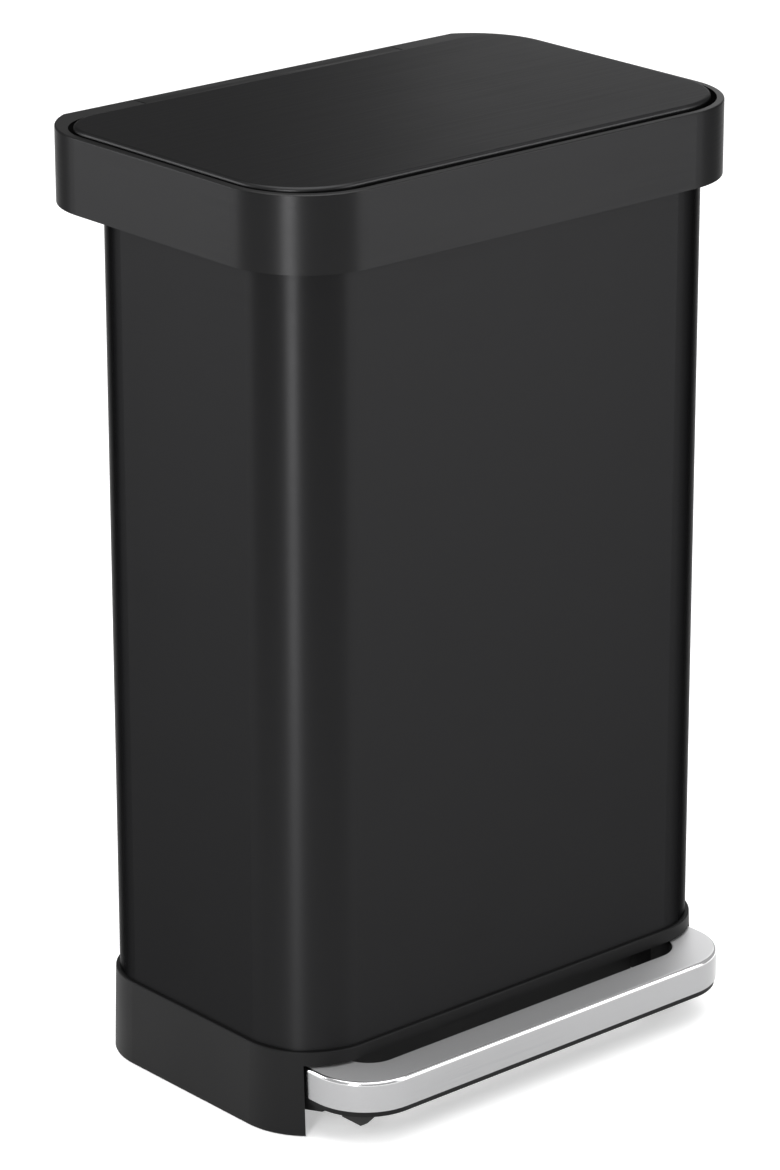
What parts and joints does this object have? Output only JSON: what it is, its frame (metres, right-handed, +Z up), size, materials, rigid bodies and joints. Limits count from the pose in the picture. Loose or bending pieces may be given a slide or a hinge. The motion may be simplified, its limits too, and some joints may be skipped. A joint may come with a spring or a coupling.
{
  "type": "pedal trash can",
  "caption": "Rectangular round-cornered step trash can: dark steel body, wide collar with a flush hinged lid, plastic base with toe opening and a C-shaped steel pedal.",
  "frame": {"origin": "on the floor, at the centre of the rectangle that the can and its pedal cover", "axes": "+X to the right of somebody who faces the pedal, +Y to the back, +Z up"},
  "size_m": [0.41, 0.302, 0.655],
  "materials": {
    "body_steel": "black stainless steel, vertical brush, satin clear coat",
    "collar_steel": "black stainless steel band, satin",
    "lid_steel": "black stainless steel lid, satin",
    "pedal_steel": "brushed along the bar, bright polished edge",
    "black_plastic": "black, fine grain",
    "base_plastic": "black polypropylene, fine grain",
    "lid_plastic": "dark grey, fine grain",
    "bucket_plastic": "dark grey polypropylene",
    "white_plastic": "natural acetal",
    "rubber": "black, matt",
    "zinc_steel": "zinc-plated steel",
    "damper_steel": "ground and plated rod",
    "damper_body": "black tube",
    "screws": "plated screw"
  },
  "bodies": {
    "can": {"outer_shell": "body_steel", "collar_band": "collar_steel", "collar_frame": "black_plastic", "hinge_housing": "black_plastic", "rear_cover": "black_plastic", "rear_cover_screws": "screws", "inner_bucket": "bucket_plastic", "base_skirt": "base_plastic", "toe_panel": "base_plastic", "pivot_bracket_left": "base_plastic", "pivot_bracket_right": "base_plastic", "pedal_axle": "zinc_steel", "axle_clips": "zinc_steel", "rubber_feet": "rubber", "damper_cylinder": "damper_body", "damper_clips": "black_plastic", "rod_guides": "white_plastic", "rod_cover": "bucket_plastic", "hinge_bracket_left": "zinc_steel", "hinge_bracket_right": "zinc_steel", "hinge_bushes": "white_plastic", "bracket_screws": "screws"},
    "lid": {"lid_skin": "lid_steel", "lid_liner": "lid_plastic", "lid_bumpers": "rubber", "hinge_cover": "lid_plastic", "hinge_arm_left": "zinc_steel", "hinge_arm_right": "zinc_steel", "hinge_rod": "zinc_steel", "hinge_clips": "zinc_steel", "lift_crank": "zinc_steel", "crank_pin": "zinc_steel"},
    "pedal": {"pedal_cap": "pedal_steel", "pedal_core": "base_plastic", "pedal_foot_left": "rubber", "pedal_foot_right": "rubber", "pedal_yoke": "base_plastic", "lift_lever": "zinc_steel", "lever_screws": "screws"},
    "lift_rod": {"lift_rod": "zinc_steel", "rod_head": "zinc_steel", "rod_fork": "zinc_steel", "fork_pin": "zinc_steel", "rod_clamp": "black_plastic", "damper_rod": "damper_steel"}
  },
  "joints": [
    {"name": "lid_hinge", "type": "hinge", "parent": "can", "child": "lid", "pos_m": [0, 0.137, 0.647], "axis": [-1, 0, 0], "range_deg": [0, 80]},
    {"name": "pedal_pivot", "type": "hinge", "parent": "can", "child": "pedal", "pos_m": [0, -0.055, 0.028], "axis": [1, 0, 0], "range_deg": [0, 9.74]},
    {"name": "rod_lift", "type": "slide", "parent": "can", "child": "lift_rod", "axis": [0, 0, 1], "range_m": [0, 0.02828]}
  ],
  "couplings": [
    {"joint": "pedal_pivot", "follows": "lid_hinge", "ratio": 0.12175},
    {"joint": "rod_lift", "follows": "lid_hinge", "m_per_rad": 0.020254}
  ]
}
